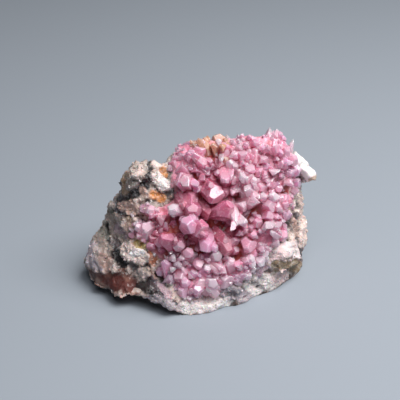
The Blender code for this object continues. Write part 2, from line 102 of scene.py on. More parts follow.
# Crystals: (across, up) of the tip in chart steps, width and rise in mm, lean (across, up), tone.
# The rise is from the rock towards the eye, and a lean is ten times the tangent of the tilt there.
CRYSTALS = (
    (-20, 55, 2.8, 4, -3, 10, "amber"), (-7, 60, 2.6, 4, 0, 12, "amber"),
    (-12, 50, 2.2, 4, -1, 6, "pink"), (3, 57, 2.0, 3, 1, 4, "white"), (13, 56, 2.4, 4, 0, 9, "amber"),
    (23, 55, 2.2, 4, 1, 8, "amber"), (10, 37, 2.6, 3, 2, -3, "pink"), (-17, 35, 4.2, 4, 0, 1, "pink"),
    (-23, 23, 5.2, 5, -2, 1, "lilac"), (-10, 14, 3.8, 6, 1, 0, "pale"),
    (-2, 13, 2.6, 5, 1, 0, "lilac"), (-3, 30, 3.8, 4, 0, 0, "pink"), (-28, 45, 2.2, 3, -6, 8, "pink"),
    (21, 39, 1.6, 6, 1, -3, "white"), (32, 34, 3.0, 5, 0, 0, "white"), (18, 26, 1.6, 5, 0, 0, "pink"),
    (26, 16, 2.4, 7, 0, -5, "pink"), (29, 22, 2.0, 5, 1, 0, "pale"), (41, 25, 2.5, 6, 0, 3, "white"),
    (53, 16, 3.1, 6, 0, 1, "white"), (43, 8, 3.2, 7, -1, 0, "white"), (32, 7, 1.8, 6, 0, -2, "pink"),
    (19, 1, 4.4, 8, 4.5, -6, "mauve"), (32, -9, 4.6, 7, 5, -2, "mauve"),
    (45, 65, 3.4, 4, -1, 10, "pale"), (57, 64, 4.4, 4, 0, 9, "pale"), (34, 61, 1.8, 3, -1, 5, "pale"),
    (39, 58, 1.8, 3, -1, 5, "white"), (44, 55, 1.8, 3, -1, 5, "white"),
    (49, 51, 1.8, 3, -1, 5, "pale"), (46, 45, 2.4, 4, 0, 3, "pink"), (54, 45, 2.2, 4, 0, 3, "pink"),
    (31, 50, 2.0, 3, 0, 3, "deep"), (70, 74, 2.8, 5, -1, 12, "pale"), (75, 73, 2.8, 5, 1, 12, "pale"),
    (72, 66, 4.4, 4, 0, 6, "pink"), (82, 70, 1.8, 4, 2, 12, "pink"), (94, 62, 1.4, 4, 13, 3, "white"),
    (92, 49, 2.8, 4, 6, 3, "pink"), (94, 40, 3.2, 4, 6, 1, "pale"), (97, 30, 3.0, 4, 6, 0, "lilac"),
    (86, 62, 1.2, 4, 6, 8, "pink"), (87, 56, 2.4, 3, 5, 5, "pink"), (68, 56, 1.8, 4, 0, 5, "pale"),
    (75, 54, 2.6, 4, 0, 4, "pink"), (67, 42, 4.4, 4, 1, 2, "pale"), (87, 37, 3.0, 4, 2, 1, "lilac"),
    (74, 25, 2.4, 5, 0, -2, "white"), (65, 26, 2.0, 4, 0, 0, "pink"), (58, 28, 2.4, 4, 0, 0, "pink"),
    (50, 32, 2.8, 4, 0, 1, "pink"), (81, 24, 1.8, 4, 0, 0, "pink"), (99, 20, 4.0, 4, 7, 0, "lilac"),
    (89, 20, 3.2, 4, 3, 0, "deep"), (79, 13, 2.6, 3, 0, 0, "deep"), (62, 14, 2.8, 4, 0, 0, "pink"),
    (68, 19, 2.4, 4, 0, 0, "pale"), (73, 4, 2.4, 6, 0, 1, "white"), (64, 4, 2.2, 6, 1, 1, "white"),
    (60, -2, 3.8, 6, 8, 1, "pale"), (54, -3, 2.6, 5, 3, 0, "pink"), (85, 2, 2.2, 4, 2, 0, "pink"),
    (84, -4, 2.4, 4, 2, 0, "pink"), (94, 3, 2.2, 3, 5, 1, "pink"), (68, -8, 2.8, 4, 0, 0, "pink"),
    (77, -8, 2.6, 4, 1, 0, "pale"), (75, -16, 3.6, 4, 1, 1, "pink"), (66, -18, 2.8, 4, 0, 0, "pink"),
    (85, -12, 2.6, 3, 2, 0, "lilac"), (92, -13, 2.8, 3, 4, 0, "lilac"),
    (83, -21, 2.0, 3, 2, -1, "pink"), (46, -26, 2.8, 7, 4, -5, "white"),
    (57, -24, 3.0, 5, 1, 0, "pink"), (66, -29, 2.4, 6, 0, -1, "white"),
    (76, -26, 2.8, 4, 1, 0, "pale"), (65, -38, 4.2, 4, 1, -4, "pink"),
    (53, -36, 3.2, 4, 0, -2, "pink"), (49, -48, 3.6, 4, 1, -3, "pink"),
    (-31, -10, 2.8, 6, -5, 0, "white"), (-9, -6, 4.2, 7, 2, -3, "mauve"),
    (-3, -15, 3.6, 7, 3, -4, "mauve"), (-18, -4, 3.4, 6, -1, 1, "deep"),
    (-39, -17, 3.4, 5, -1, 3, "deep"), (-14, -27, 4.0, 8, -2, -1, "lilac"),
    (1, -30, 4.4, 8, 1.5, -2, "mauve"), (7, -53, 3.6, 6, 2, -12, "lilac"),
    (-37, -40, 3.8, 5, -1, 3, "mauve"), (-51, -9, 2.8, 3, -4, 2, "pale"),
    (-48, -15, 2.4, 3, -2, 0, "pink"), (-23, -49, 3.4, 5, -1, -3, "pink"),
    (-10, -52, 2.4, 5, 0, 2, "pink"), (-25, -42, 2.2, 5, 0, 0, "deep"),
    (9, -16, 2.8, 5, 3, -2, "deep"), (29, -32, 3.8, 8, -1, -4, "mauve"),
    (25, -52, 4.6, 6, -1, -4, "deep"), (13, -52, 2.6, 3, 0, 0, "pink"),
    (36, -52, 2.6, 3, 0, -2, "pink"), (-36, -60, 2.8, 4, -3, 4, "lilac"),
    (-20, -63, 2.4, 4, 0, 1, "white"), (-20, -78, 4.0, 4, -2, -1, "pale"),
    (-13, -84, 2.8, 4, 0, -1, "lilac"), (-14, -70, 3.2, 4, 0, 0, "pale"),
    (-5, -72, 2.8, 4, 1, 0, "lilac"), (6, -68, 3.0, 4, 0, 1, "white"), (9, -79, 3.0, 4, 0, 1, "white"),
    (-2, -64, 2.8, 4, 0, 0, "pink"), (17, -81, 2.0, 3, 0, -1, "mauve"),
    (27, -74, 2.6, 4, 5, -6, "pale"), (21, -67, 2.2, 4, 2, -2, "mauve"),
    (36, -64, 2.6, 4, 1, 0, "pink"), (27, -63, 2.6, 3, 0, 0, "deep"), (5, -89, 3.0, 3, 0, -2, "deep"),
    (48, -76, 2.6, 3, 1, -1, "white"), (36, -75, 2.2, 2, 0, 0, "lilac"),
    (-10, -93, 2.2, 2, 0, -2, "pale"), (-24, -90, 2.4, 2, -2, -2, "lilac"),
)
CLUSTER_CRYSTALS = (
    (-61, -29, 4.2, 3, -5, 1, "pale"), (-57, -26, 2.6, 3, -2, 1, "white"),
    (-65, -26, 2.4, 3, -5, 2, "pale"), (-63, -37, 2.4, 3, -3, -2, "pink"),
    (-55, -32, 2.0, 3, 0, 0, "pale"),
)

# Slopes of the end faces, in degrees: blunt, common and steep forms of calcite.
END_SLOPES = (36, 44.6, 52, 58, 64, 68)
SIDES = 6
MAX_LEAN = 0.8
# Crystals at least this wide may have smaller ones grown parallel to them.
PARENT_WIDTH = 2.3 * MM
# Widths of the fillers in mm, in the first third of the tries and in the rest.
LARGE_FILLERS = (2.0, 3.8)
SMALL_FILLERS = (1.2, 2.3)
# Least distance of a filler from its neighbours, in widths of the two, and what a hollow adds.
FILLER_GAP = 0.23
HOLLOW_GAP = 0.25
# How many times fewer fillers and grains the left cluster has than the crust.
CLUSTER_FILLERS = 20
CLUSTER_GRAINS = 25

# Tones of the crystals: how many are clear, and how far the root's colour takes over at the foot.
# The deeper root colour is partly the crystals' own, partly painted shade at their crowded feet.
TONES = {
    "white": (0.3, 0.35), "pale": (0.3, 0.45), "pink": (0.4, 0.6), "deep": (0.6, 0.9),
    "mauve": (0.8, 0.8), "lilac": (0.7, 0.6), "amber": (0.7, 0.4),
}
# How milky a face may be, on a crystal's end and on its sides; partly frost, partly painted highlight.
END_MILK_AND_SHEEN = (0, 0.1, 0.2, 0.38)
SIDE_MILK_AND_SHEEN = (0, 0, 0.1, 0.2)
# Finishes in the order of the crystals' material slots: name, whitening and clearness.
# The edge finish's whitening is a painted highlight along the crystals' bevelled edges.
FINISHES = (("pink_calcite", 0, 0.25), ("calcite_edge_highlight", 0.5, 0.1), ("clear_calcite", 0, 0.7))
MILKY, EDGE, CLEAR = range(3)

# The bed's cells, how far back it runs, how deep its border is sunk and how high its facets are.
BED_CELL = 0.35 * MM
BED_BACK = 8.2 * MM
BORDER_DEPTH = 1.3 * MM
FACET_HEIGHT = 0.6 * MM

# Hollows of the crust, where the bed lies deep and red: (across, up) on the chart and reach.
# Their dark red is partly iron stain, partly painted shade of the recesses.
HOLLOWS = (
    (-42, -7, 5), (-28, 6, 9), (-26, -27, 9), (-8, -39, 11), (16, -24, 11), (40, -2, 8), (42, -43, 7),
    (-2, -50, 6), (3, -3, 8), (50, -13, 10), (-40, -56, 9), (37, -55, 6), (12, 44, 7), (-6, 23, 5),
    (85, 10, 6),
)

# Regions of the crust: (across, up) of the middle, reach, and tones. The first is also the bed's.
REGIONS = (
    (-60, -28, 14, ("pale", "white", "pale")),
    (-46, -12, 12, ("pale", "pink", "pale")),
    (70, 30, 45, ("pale", "pink", "pink", "pink", "pale", "lilac")),
    (70, -20, 40, ("pink", "pink", "pale", "pale")),
    (-15, 30, 30, ("pink", "lilac", "pink")),
    (8, 58, 20, ("amber", "amber", "amber", "white")),
    (24, 47, 10, ("deep", "amber", "pink")),
    (5, -15, 50, ("deep", "mauve", "deep", "pink")),
    (0, -80, 40, ("lilac", "pale", "white", "pale")),
    (50, -70, 30, ("lilac", "pale", "white")),
)

# Stains and zones of the rock: ends of a streak on the chart, its half width, colour and strength.
STAINS = (
    # the knob and its dark band
    (-70, 24, -58, 30, 15, "drab", 1), (-66, 28, -60, 32, 5, "cream", 0.7),
    (-77, 26, -77, 8, 4, "tan", 0.9), (-73, 20, -70, 8, 3, "drab", 0.9),
    (-49, 42, -48, 24, 3.6, "black", 1), (-48, 24, -54, 13, 5, "black", 1),
    (-54, 13, -66, 6, 4.4, "black", 1), (-66, 6, -80, -2, 4.6, "black", 0.9),
    (-81, -2, -85, -10, 4.4, "slate", 1),
    # the pale lump beside the crust, with its stains
    (-42, 38, -34, 38, 6, "cream", 1), (-41, 22, -37, 14, 6.5, "white", 1),
    (-37, 31, -35, 26, 3.5, "ochre", 0.9), (-46, 30, -45, 20, 2, "cream", 0.7),
    (-47, 6, -39, 2, 4.2, "ochre", 1), (-57, 8, -52, 4, 3.5, "beige", 0.8),
    # the left flank
    (-86, 6, -79, -12, 5, "slate", 1), (-84, 2, -80, -8, 3, "black", 0.6),
    (-77, -6, -60, -12, 6, "beige", 0.9), (-93, -10, -87, -20, 4, "moss", 0.8),
    (-90, -22, -78, -38, 9, "drab", 0.9), (-84, -26, -76, -34, 4, "mauve", 0.7),
    (-78, -16, -58, -16, 1.3, "brick", 1), (-78, -22, -76, -30, 2.2, "cream", 0.8),
    (-72, -18, -68, -24, 3, "tan", 0.8), (-73, -28, -66, -38, 6, "beige", 0.7),
    (-95, -24, -92, -46, 2, "black", 1), (-102, -28, -96, -34, 4, "moss", 0.8),
    (-87, -42, -82, -46, 5, "slate", 0.8), (-88, -50, -79, -64, 6, "black", 1),
    # the left lobe and the red face under it
    (-108, -40, -98, -48, 8, "drab", 0.8), (-109, -48, -104, -68, 8, "frost", 1),
    (-104, -50, -100, -62, 4, "cream", 0.7), (-98, -58, -92, -70, 5, "beige", 0.8),
    (-110, -74, -98, -73, 2.5, "cream", 0.7), (-112, -76, -92, -84, 7, "brick", 0.9),
    (-92, -80, -66, -88, 9, "redstone", 1), (-96, -76, -90, -74, 2.5, "rose_tan", 0.9),
    (-80, -72, -72, -78, 4, "rose_tan", 0.9), (-106, -82, -96, -90, 4, "umber", 0.8),
    (-74, -94, -66, -96, 3, "rose_tan", 0.8), (-66, -78, -62, -92, 2.5, "brick", 0.8),
    # the lumps between the pocket and the crust
    (-72, -52, -56, -58, 9, "cream", 1), (-68, -54, -58, -52, 4, "white", 0.9),
    (-63, -42, -52, -44, 4, "olive", 0.9), (-46, -50, -48, -62, 4.5, "rust", 0.9),
    (-50, -66, -46, -78, 3, "beige", 0.7), (-64, -70, -56, -82, 6, "drab", 0.9),
    (-60, -72, -56, -76, 3, "cream", 0.8), (-70, -64, -66, -70, 3, "slate", 0.8),
    # the dark foot and the pale rim
    (-60, -86, -44, -96, 6, "black", 0.9), (-50, -82, -34, -96, 6, "mauve", 0.8),
    (-52, -82, -44, -98, 5, "black", 0.9), (-40, -101, -26, -104, 3, "slate", 0.9),
    (-50, -100, -22, -109, 5, "frost", 0.9), (-14, -107, 24, -105, 6, "white", 1),
    (-8, -96, 16, -98, 5, "rose", 0.9), (16, -104, 72, -86, 4, "white", 0.9),
    (18, -90, 44, -96, 7, "frost", 1), (30, -94, 36, -96, 3, "slate", 0.7),
    (50, -86, 66, -78, 6, "white", 0.9), (54, -84, 60, -88, 3, "slate", 0.6),
    # the right slope and its white block
    (60, -68, 76, -60, 8, "mauve", 1), (66, -62, 74, -66, 4, "rose", 0.9),
    (68, -40, 78, -56, 7, "rose", 0.7), (70, -56, 80, -48, 4, "umber", 0.5),
    (78, -48, 98, -50, 9, "rose", 1), (84, -42, 96, -54, 5, "white", 0.5),
    (78, -68, 100, -66, 6.5, "olive_brown", 1), (76, -80, 84, -76, 5, "rose", 0.9),
    (94, -24, 100, -38, 1.6, "black", 0.9), (100, -38, 105, -62, 2.4, "slate", 1),
    (100, 12, 104, -14, 7, "cream", 1), (102, -14, 106, -44, 5, "cream", 1),
    (94, -16, 98, -34, 3, "beige", 0.8), (99, -4, 99, -8, 1.8, "black", 0.9),
    (96, -14, 100, -20, 1.6, "slate", 0.9),
    # the chip on the right shoulder
    (98, 44, 112, 24, 10, "white", 1), (94, 52, 93, 46, 2.5, "black", 1),
    (112, 20, 116, 22, 3, "tan", 0.8), (96, 38, 98, 30, 2.5, "mauve", 0.5),
)

# Edge of the foot where the rock overhangs the floor: (x, y) in mm.
FOOT_EDGE = ((-18.1, -12.0), (-15.9, -11.1), (-12.3, -13.4), (-8.5, -17.0))

# Places where the rock broke smooth: ends of a streak on the chart, its half width and smoothness.
SMOOTH = (
    (-108, -40, -102, -66, 11, 0.6), (-110, -80, -64, -88, 10, 1), (98, 46, 114, 22, 9, 1),
    (84, -46, 96, -52, 8, 0.6),
)

# How steep the chips of the break are, and how deep the grooves between them.
CHIP_SLOPE = 2.2
CHIP_GROOVE = 0.35

# Shifts between the three noises of a drift.
DRIFT_SHIFTS = (12.7, 37.3, 61.9)

# Seeds of the random draws.
CRUST_SEED = 14
CLUSTER_SEED = 5
GRAIN_SEED = 23

# Lights: where each disc hangs, its width and its colour. Both face LIGHT_TARGET.
LIGHT_TARGET = (0, 0, 0.015)
KEY_LIGHT = ((0.20, -0.04, 0.40), 0.36, (1, 0.98, 0.97))
FILL_LIGHT = ((0.04, -0.22, 0.45), 0.35, (0.97, 0.97, 1))


def srgb(red, green, blue):
    """A colour given in 8-bit screen values, as scene-linear light."""
    shares = (value / 255 for value in (red, green, blue))
    return tuple(s / 12.92 if s <= 0.04045 else ((s + 0.055) / 1.055) ** 2.4 for s in shares)


def colour(name, description, red, green, blue):
    return FloatVectorProperty(
        name=name, description=description, default=srgb(red, green, blue), subtype="COLOR", size=3,
        min=0, max=1,
    )


def length(name, description, default):
    return FloatProperty(
        name=name, description=description, default=default, min=0, unit="LENGTH", subtype="DISTANCE",
    )


def number(name, description, default):
    return FloatProperty(name=name, description=description, default=default, min=0)


def whole(name, description, default):
    return IntProperty(name=name, description=description, default=default, min=0)


class RockSettings(bpy.types.PropertyGroup):
    """Sizes and colours of the host rock."""

    grain: length("Grain", "Size of the cells that its surface is divided into", 0.35 * MM)
    chip_size: length("Chip size", "Distance between the large chips of the break", 3.2 * MM)
    chip_depth: length("Chip depth", "How far the large chips stand out", 0.75 * MM)
    crumb_size: length("Crumb size", "Distance between the crumbs on the chips", 1.3 * MM)
    crumb_depth: length("Crumb depth", "How far the crumbs stand out", 0.28 * MM)
    tone_depth: length("Tone depth", "How far pale lumps stand out of the dark bands", 0.8 * MM)
    overhang: length("Overhang", "How high the front-left edge of the foot stands", 1.8 * MM)
    grains: whole("Grains", "Small crystals dusted over the rock", 1300)
    white: colour("White", "Sugary white rock", 246, 236, 234)
    cream: colour("Cream", "Cream lumps", 228, 206, 198)
    rose: colour("Rose", "White rock with a pink cast", 226, 204, 204)
    frost: colour("Frost", "Grey rock that sparkles", 188, 174, 180)
    drab: colour("Drab", "Grey-beige rock", 172, 156, 148)
    beige: colour("Beige", "Warm rock", 196, 160, 148)
    tan: colour("Tan", "Tan edges", 178, 146, 118)
    rose_tan: colour("Rose tan", "Pale pink-brown edges", 128, 82, 70)
    moss: colour("Moss", "Green-grey rock", 128, 126, 116)
    slate: colour("Slate", "Blue-grey rock", 88, 80, 86)
    black: colour("Black", "Dark bands and pockets", 32, 26, 28)
    ochre: colour("Ochre", "Orange stains", 212, 142, 84)
    olive: colour("Olive", "Yellow-olive stains", 184, 158, 88)
    rust: colour("Rust", "Orange-brown stains", 182, 108, 72)
    brick: colour("Brick", "Dark red-brown rock", 82, 44, 40)
    redstone: colour("Redstone", "The smooth red face at the lower left", 96, 44, 38)
    umber: colour("Umber", "Brown rock", 128, 106, 98)
    olive_brown: colour("Olive brown", "Rock under the right ledge", 142, 122, 98)
    mauve: colour("Mauve", "The sparkling slope at the right", 184, 154, 168)


class DruseSettings(bpy.types.PropertyGroup):
    """Sizes and colours of the pink crystals."""

    widen: number("Widen", "Share of the listed widths", 1.12)
    bed: length("Bed thickness", "Thickness of the crust between the crystals", 1.3 * MM)
    # The bevel's whitening is a painted highlight along the crystal edges rather than milkiness.
    edge: length("Edge bevel", "Width of the milky bevel along crystal edges", 0.09 * MM)
    fillers: whole("Fillers", "Tries at growing small crystals between the listed ones", 9000)
    grains: whole("Grains", "Tiny crystals sown over the bed", 160)
    white: colour("White", "Near-white crystals", 254, 216, 229)
    pale: colour("Pale", "Pale pink crystals", 250, 192, 210)
    pink: colour("Pink", "Pink crystals", 248, 174, 199)
    deep: colour("Deep", "Deep rose crystals", 210, 116, 142)
    mauve: colour("Mauve", "Mauve crystals", 220, 130, 162)
    lilac: colour("Lilac", "Lilac crystals", 244, 184, 214)
    amber: colour("Amber", "Stained crystals along the ridge", 222, 168, 138)
    # At the crystals' feet the root colour is partly painted shade; on the bed it deepens patches at
    # random.
    root: colour("Root", "Deep pink of the crystals' roots", 214, 112, 138)
    # Gap is partly iron stain, partly painted shade in the hollows of the bed.
    gap: colour("Gap", "Dark red of the hollows", 160, 60, 58)
    # Frost is the whitening of the milky faces: partly frosted tips, partly painted highlight.
    frost: colour("Frost", "Milky tips", 252, 230, 238)


class StageSettings(bpy.types.PropertyGroup):
    """The floor, the lights and the camera."""

    floor_colour: colour("Floor", "Pale blue-grey floor", 147, 155, 164)
    floor_size: length("Floor size", "Side of the square floor", 3.0)
    lens: number("Lens", "Focal length in mm", 108)
    key: number("Key", "Strength of the key light in W", 2.75)
    fill: number("Fill", "Strength of the fill light in W", 0.86)
    sky: number("Sky", "Strength of the light from all round", 0.06)


SETTINGS = {"rock": RockSettings, "druse": DruseSettings, "stage": StageSettings}


def settings(group):
    return getattr(bpy.context.scene, "specimen_" + group)


# ---- The chart ----


def sight_point(across, up, height):
    """The point on the sight line through a chart place, at this height towards the eye."""
    spread = CHART_STEP * (1 - height / EYE_DISTANCE)
    return CHART_CENTRE + CHART_AXES @ Vector((across * spread, up * spread, height))


def chart_places(points):
    """Chart places of an array of points, as (across, up, height) rows."""
    flat = (points - np.array(CHART_CENTRE)) @ np.array(CHART_AXES)
    spread = CHART_STEP * (1 - flat[:, 2:] / EYE_DISTANCE)
    return np.hstack((flat[:, :2] / spread, flat[:, 2:]))


def edge_distance(places, outline):
    """How far chart places lie inside an outline, in chart steps; negative outside."""
    across, up = places[:, 0], places[:, 1]
    inside = np.zeros(len(places), bool)
    nearest = np.full(len(places), 1e9)
    for (x1, y1), (x2, y2) in zip(outline, outline[1:] + outline[:1]):
        if y1 != y2:
            crosses = ((y1 > up) != (y2 > up)) & (across < x1 + (up - y1) * (x2 - x1) / (y2 - y1))
            inside ^= crosses
        nearest = np.minimum(nearest, streak_distance(places, x1, y1, x2, y2))
    return np.where(inside, nearest, -nearest)


def streak_distance(places, x1, y1, x2, y2):
    """Distance of chart places from a straight streak."""
    run = np.array((x2 - x1, y2 - y1), float)
    offset = places[:, :2] - (x1, y1)
    share = np.clip(offset @ run / max(run @ run, 1e-9), 0, 1)
    return np.linalg.norm(offset - share[:, None] * run, axis=1)


# ---- Meshes ----


def new_piece(name, mesh):
    piece = bpy.data.objects.new(name, mesh)
    bpy.context.scene.collection.objects.link(piece)
    return piece


def bake(obj):
    """Applies the object's modifiers."""
    graph = bpy.context.evaluated_depsgraph_get()
    mesh = bpy.data.meshes.new_from_object(obj.evaluated_get(graph))
    obj.modifiers.clear()
    obj.data = mesh


def vertex_array(mesh, name="co"):
    values = np.empty(len(mesh.vertices) * 3, np.float32)
    mesh.vertices.foreach_get(name, values)
    return values.reshape(-1, 3).astype(float)


def set_vertices(mesh, points):
    """Places the vertices, none of them below the floor."""
    points[:, 2] = np.maximum(points[:, 2], 0)
    mesh.vertices.foreach_set("co", points.astype(np.float32).ravel())
    mesh.update()


def paint(mesh, name, colours, share=1.0, domain="POINT"):
    """Stores a colour for each vertex or corner, with a share as its fourth number."""
    layer = mesh.attributes.new(name, "FLOAT_COLOR", domain)
    shares = np.broadcast_to(share, len(colours))
    layer.data.foreach_set("color", np.column_stack((colours, shares)).astype(np.float32).ravel())


def dress(piece, *materials):
    """Gives a piece these materials in place of its own."""
    piece.data.materials.clear()
    for material in materials:
        piece.data.materials.append(material)


def fine_rock(name, cell, rounds):
    """The rock's solid as a fine, even mesh, softened in a few rounds."""
    piece = new_piece(name, frame["nodes"]["matrix_rock"].data.copy())
    cells = piece.modifiers.new("Cells", "REMESH")
    cells.mode = "VOXEL"
    cells.voxel_size = cell
    soften = piece.modifiers.new("Soften", "SMOOTH")
    soften.factor = 0.5
    soften.iterations = rounds
    bake(piece)
    return piece


def drift(place):
    """A vector that changes smoothly from place to place, each part from -1 to 1."""
    shifts = [Vector((shift, 2 * shift, 3 * shift)) for shift in DRIFT_SHIFTS]
    return Vector([noise.noise(place + shift) for shift in shifts])


def jitter(spread, rng):
    """A random vector, each part as likely below zero as above."""
    return Vector([rng.gauss(0, spread) for _ in range(3)])


def chips(point, size):
    """Height of tilted chips at a point: each cell of the break has a slope of its own."""
    place = point / size
    distances, centres = noise.voronoi(place)
    tilt = drift(centres[0] * 3.7)
    flat = min((distances[1] - distances[0]) * 3, 1)
    return tilt.dot(place - centres[0]) * CHIP_SLOPE - CHIP_GROOVE * (1 - flat)


def smoothstep(values, low, high):
    share = np.clip((values - low) / (high - low), 0, 1)
    return share * share * (3 - 2 * share)


def blend(colours, tone, share):
    """The colours moved towards a tone, each by its own share."""
    return colours + (np.array(tone) - colours) * share[:, None]


# ---- Shaders ----


class Wire:
    """The output of a shader node. Arithmetic on it adds Math nodes."""

    def __init__(self, tree, socket):
        self.tree = tree
        self.socket = socket

    def math(self, operation, *values):
        return self.tree.node("ShaderNodeMath", {"operation": operation}, dict(enumerate(values)))

    def __add__(self, other):
        return self.math("ADD", self, other)

    def __mul__(self, other):
        return self.math("MULTIPLY", self, other)

    __radd__ = __add__
    __rmul__ = __mul__


class ShaderTree:
    """The node tree of one material, with a Principled shader to feed."""

    def __init__(self, name, plain):
        self.material = bpy.data.materials.new(name)
        self.material.use_nodes = True
        self.nodes = self.material.node_tree.nodes
        self.links = self.material.node_tree.links
        self.shader = self.nodes["Principled BSDF"]
        self.feed(self.shader, plain)

    def feed(self, node, sockets):
        for key, value in sockets.items():
            if isinstance(value, Wire):
                self.links.new(value.socket, node.inputs[key])
            else:
                node.inputs[key].default_value = value

    def node(self, kind, options=None, sockets=None, output=0):
        """Adds a node, sets its options, feeds its sockets and returns one of its outputs."""
        node = self.nodes.new(kind)
        for key, value in (options or {}).items():
            setattr(node, key, value)
        self.feed(node, sockets or {})
        return Wire(self, node.outputs[output])

    def attribute(self, name, output="Color"):
        return self.node("ShaderNodeAttribute", {"attribute_name": name}, output=output)

    def place(self):
        return self.node("ShaderNodeTexCoord", output="Object")

    def noise(self, size, detail=3, roughness=0.55, distortion=0.0):
        """Noise from 0 to 1 with features of this size."""
        sockets = {
            "Vector": self.place(), "Scale": 1 / size, "Detail": detail, "Roughness": roughness,
            "Distortion": distortion,
        }
        return self.node("ShaderNodeTexNoise", {}, sockets)

    def cells(self, size, output="Distance"):
        """Irregular cells of this size: the distance from their middles, or a colour for each."""
        sockets = {"Vector": self.place(), "Scale": 1 / size}
        return self.node("ShaderNodeTexVoronoi", {}, sockets, output)

    def step(self, value, low, high, to_low, to_high):
        """A soft step: to_low below low, to_high above high."""
        sockets = {"Value": value, 1: low, 2: high, 3: to_low, 4: to_high}
        return self.node("ShaderNodeMapRange", {"interpolation_type": "SMOOTHSTEP"}, sockets)

    def mix(self, share, first, second, blend="MIX"):
        """A blend from the first colour to the second, a plain one, as the share goes from 0 to 1."""
        options = {"data_type": "RGBA", "blend_type": blend}
        sockets = {0: share, 6: first, 7: (*second, 1)}
        return self.node("ShaderNodeMix", options, sockets, 2)

    def bump(self, height, distance, strength):
        sockets = {"Height": height, "Distance": distance, "Strength": strength}
        return self.node("ShaderNodeBump", {}, sockets, "Normal")

    def finish(self, colour, roughness, **sockets):
        self.feed(self.shader, {"Base Color": colour, "Roughness": roughness, **sockets})
        return self.material


def rock_material():
    """Broken rock: its painted zones, with crumbs, specks and glints of crystal grain."""
    tree = ShaderTree("host_rock", {"Subsurface Weight": 0.2, "Subsurface Scale": 0.4 * MM})
    painted = tree.attribute("paint")
    rough = tree.attribute("paint", "Alpha")
    speck = tree.noise(0.8 * MM, 5, 0.7)
    patch = tree.noise(1.8 * MM, 5, 0.65)
    grain = tree.cells(0.5 * MM)
    grain_tone = tree.cells(0.5 * MM, "Color")
    tone = tree.mix(tree.step(patch, 0.48, 0.66, 0, 0.2) * rough, painted, srgb(232, 224, 220))
    tone = tree.mix(tree.step(speck, 0.44, 0.34, 0, 0.6) * rough, tone, srgb(96, 80, 78), "MULTIPLY")
    tone = tree.mix(tree.step(grain_tone, 0.6, 0.85, 0, 0.2) * rough, tone, srgb(250, 246, 244))
    shine = tree.step(grain_tone, 0.66, 0.74, 0.75, 0.2)
    relief = (grain * 0.6 + speck * 0.7) * (rough * 0.8 + 0.2) + tree.noise(0.2 * MM, 2) * 0.2
    return tree.finish(tone, shine, Normal=tree.bump(relief, 0.25 * MM, 1))


def crystal_material(name, whitening, clearness):
    """Translucent calcite: cloudy inside, with glossy, faintly uneven faces."""
    tree = ShaderTree(name, {
        "IOR": 1.6, "Transmission Weight": clearness, "Subsurface Weight": 1.0,
        "Subsurface Radius": (1.0, 0.75, 0.85), "Subsurface Scale": 2.0 * MM,
        "Coat Weight": 0.45, "Coat Roughness": 0.05,
    })
    tint = tree.attribute("tint")
    cloud = tree.noise(1.3 * MM, 4, 0.6)
    veil = tree.noise(0.5 * MM, 3, 0.6, 1.0)
    # The whitening lightens the whole finish; on the edge finish it is a painted highlight.
    tone = tree.mix(tree.step(cloud, 0.5, 0.75, whitening, 0.25 + whitening), tint, srgb(250, 226, 236))
    tone = tree.mix(tree.step(veil, 0.52, 0.68, 0, 0.25), tone, srgb(252, 230, 238))
    frost = tree.step(tree.noise(0.9 * MM, 3), 0.4, 0.65, 0.07, 0.28)
    relief = tree.noise(0.8 * MM, 4, 0.65) + tree.noise(0.25 * MM, 2) * 0.2
    return tree.finish(tone, frost, Normal=tree.bump(relief, 0.13 * MM, 0.45))


def bed_material():
    """The sugary crust between the crystals, with rusty stains."""
    tree = ShaderTree("crust_bed", {
        "Subsurface Weight": 0.25, "Subsurface Radius": (1.0, 0.3, 0.3), "Subsurface Scale": 0.8 * MM,
    })
    tint = tree.attribute("tint")
    stain = tree.noise(2.0 * MM, 4, 0.6)
    tone = tree.mix(tree.step(stain, 0.5, 0.7, 0, 0.35), tint, srgb(170, 104, 84))
    relief = tree.cells(0.6 * MM) + tree.noise(0.3 * MM, 3) * 0.5
    return tree.finish(tone, 0.3, Normal=tree.bump(relief, 0.15 * MM, 0.8))


# ---- The host rock ----


def rock_relief(points, normals, colours, rough, sizes):
    """The rock's points moved along their normals: dark zones sunk, then chips and crumbs."""
    light = colours @ LIGHTNESS
    heights = (smoothstep(light, 0.02, 0.55) - 1) * sizes.tone_depth
    for index, point in enumerate(points):
        spot = Vector(point)
        relief = chips(spot, sizes.chip_size) * sizes.chip_depth * (0.4 + 0.6 * rough[index])
        heights[index] += relief + chips(spot, sizes.crumb_size) * sizes.crumb_depth * rough[index]
    foot = smoothstep(points[:, 2], 0.2 * MM, 1.6 * MM)
    return points + normals * (heights * foot)[:, None]


def raise_foot(points, overhang):
    """Lifts the edge of the foot off the floor, and moves it forward to where the eye saw it."""
    floor_points = points[:, :2] / MM
    away = np.full(len(points), 1e9)
    for (x1, y1), (x2, y2) in zip(FOOT_EDGE, FOOT_EDGE[1:]):
        away = np.minimum(away, streak_distance(floor_points, x1, y1, x2, y2))
    share = (1 - smoothstep(away, 0.5, 6.5)) * (1 - smoothstep(points[:, 2], 2 * MM, 8 * MM))
    forward = EYE_COS / EYE_SIN * overhang * 0.9
    return points + np.outer(share, (0, -forward, overhang))


def smooth_share(points):
    """How far points lie in the places that broke smooth, from 0 to 1."""
    places = chart_places(points)
    share = np.zeros(len(points))
    for x1, y1, x2, y2, reach, strength in SMOOTH:
        inside = reach - streak_distance(places, x1, y1, x2, y2)
        share = np.maximum(share, smoothstep(inside, -2, 3) * strength)
    return share


def wobble(points, size, seed):
    """Smooth noise about zero at each point, with features of this size."""
    shift = Vector((seed * 17.3, seed * 5.9, seed * 11.1))
    return np.array([noise.fractal(Vector(p) / size + shift, 0.9, 2.0, 3) for p in points])


